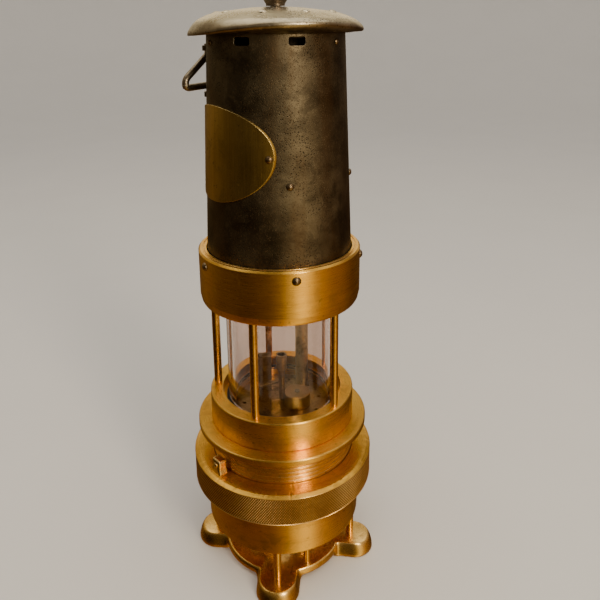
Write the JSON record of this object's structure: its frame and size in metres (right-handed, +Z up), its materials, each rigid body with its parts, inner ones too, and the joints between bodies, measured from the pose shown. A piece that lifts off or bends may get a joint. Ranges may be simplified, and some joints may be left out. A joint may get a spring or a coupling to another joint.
{
  "type": "carbide lamp",
  "caption": "Miner's carbide safety lamp: steel bonnet and domed lid over a caged glass, screwed brass vessel with a knurled clamp ring, and a four-footed pillared stand.",
  "frame": {"origin": "on the lamp's axis, at the floor the four feet stand on", "axes": "+Z up along the lamp's axis, -Y towards the foot and stay seen in front, the side loop on the -X side"},
  "size_m": [0.1045, 0.1033, 0.3491],
  "materials": {
    "stand_brass": "polished, uneven",
    "turned_brass": "turned, old lacquer",
    "inner_brass": "dull, sooted",
    "plate_brass": "brushed",
    "bonnet_steel": "brown, pitted",
    "lid_steel": "worn, rubbed bright",
    "dark_steel": "dull",
    "tinned_steel": "matt tinned",
    "gauze_wire": "woven wire",
    "glass": "clear",
    "gasket": "matt"
  },
  "bodies": {
    "stand": {"foot_casting": "stand_brass", "foot_pillars": "stand_brass", "foot_nuts": "stand_brass", "side_stay": "stand_brass", "vessel": "turned_brass", "carbide_tray": "tinned_steel", "vessel_gasket": "gasket"},
    "head": {"water_tank": "turned_brass", "neck_flange": "turned_brass", "cage_lower_ring": "turned_brass", "cage_upper_ring": "turned_brass", "cage_pillars": "turned_brass", "glass": "glass", "glass_gasket_lower": "gasket", "glass_gasket_upper": "gasket", "burner_plate": "inner_brass", "gas_post": "inner_brass", "burner_cup": "inner_brass", "riser_tube": "inner_brass", "striker_bracket": "inner_brass", "striker_arm": "inner_brass", "flint_block": "inner_brass", "inner_gauze": "gauze_wire", "outer_gauze": "gauze_wire", "gauze_ring": "inner_brass", "gauze_spacer": "inner_brass", "bonnet_shell": "bonnet_steel", "ring_screws": "dark_steel", "bonnet_rivets": "bonnet_steel", "top_screws": "bonnet_steel", "oval_plate": "plate_brass", "plate_rivets": "dark_steel", "lid": "lid_steel", "lid_seat_ring": "lid_steel", "lid_rivets": "lid_steel", "loop_lugs": "dark_steel"},
    "clamp": {"clamp_ring": "turned_brass", "lock_lug": "turned_brass"},
    "lock": {"lock_pin": "dark_steel"},
    "striker_control": {"striker_spindle": "dark_steel", "striker_key": "inner_brass"},
    "drum": {"striker_drum": "inner_brass", "striker_shaft": "dark_steel"},
    "water_valve": {"valve_spindle": "dark_steel", "valve_knob": "inner_brass"},
    "swivel": {"swivel": "dark_steel", "swivel_nut": "dark_steel", "hanging_hook": "dark_steel"},
    "loop": {"side_loop": "dark_steel"}
  },
  "joints": [
    {"name": "head_lift", "type": "slide", "parent": "stand", "child": "head", "axis": [0, 0, 1], "range_m": [0, 0.0045]},
    {"name": "clamp_turn", "type": "hinge", "parent": "head", "child": "clamp", "pos_m": [0, 0, 0.0626], "axis": [0, 0, 1], "range_deg": [0, 1080]},
    {"name": "lock_pull", "type": "slide", "parent": "clamp", "child": "lock", "axis": [-0.7771, -0.6293, 0], "range_m": [0, 0.005]},
    {"name": "striker_turn", "type": "hinge", "parent": "stand", "child": "striker_control", "pos_m": [0.00846, -0.00409, 0.014], "axis": [0, 0, 1], "range_deg": [-360, 360]},
    {"name": "drum_turn", "type": "hinge", "parent": "head", "child": "drum", "pos_m": [0.00846, -0.00409, 0.0968], "axis": [0, 0, 1], "range_deg": [-360, 360]},
    {"name": "valve_turn", "type": "hinge", "parent": "stand", "child": "water_valve", "pos_m": [-0.00846, 0.00409, 0.014], "axis": [0, 0, 1], "range_deg": [0, 270]},
    {"name": "swivel_spin", "type": "hinge", "parent": "head", "child": "swivel", "pos_m": [0, 0, 0.3123], "axis": [0, 0, 1], "continuous": true},
    {"name": "loop_swing", "type": "hinge", "parent": "head", "child": "loop", "pos_m": [-0.03505, 0.01416, 0.28], "axis": [0, 0, 1], "range_deg": [-150, 10]}
  ],
  "couplings": [
    {"joint": "head_lift", "follows": "clamp_turn", "m_per_rad": 0.0002387},
    {"joint": "drum_turn", "follows": "striker_turn", "ratio": 1}
  ]
}
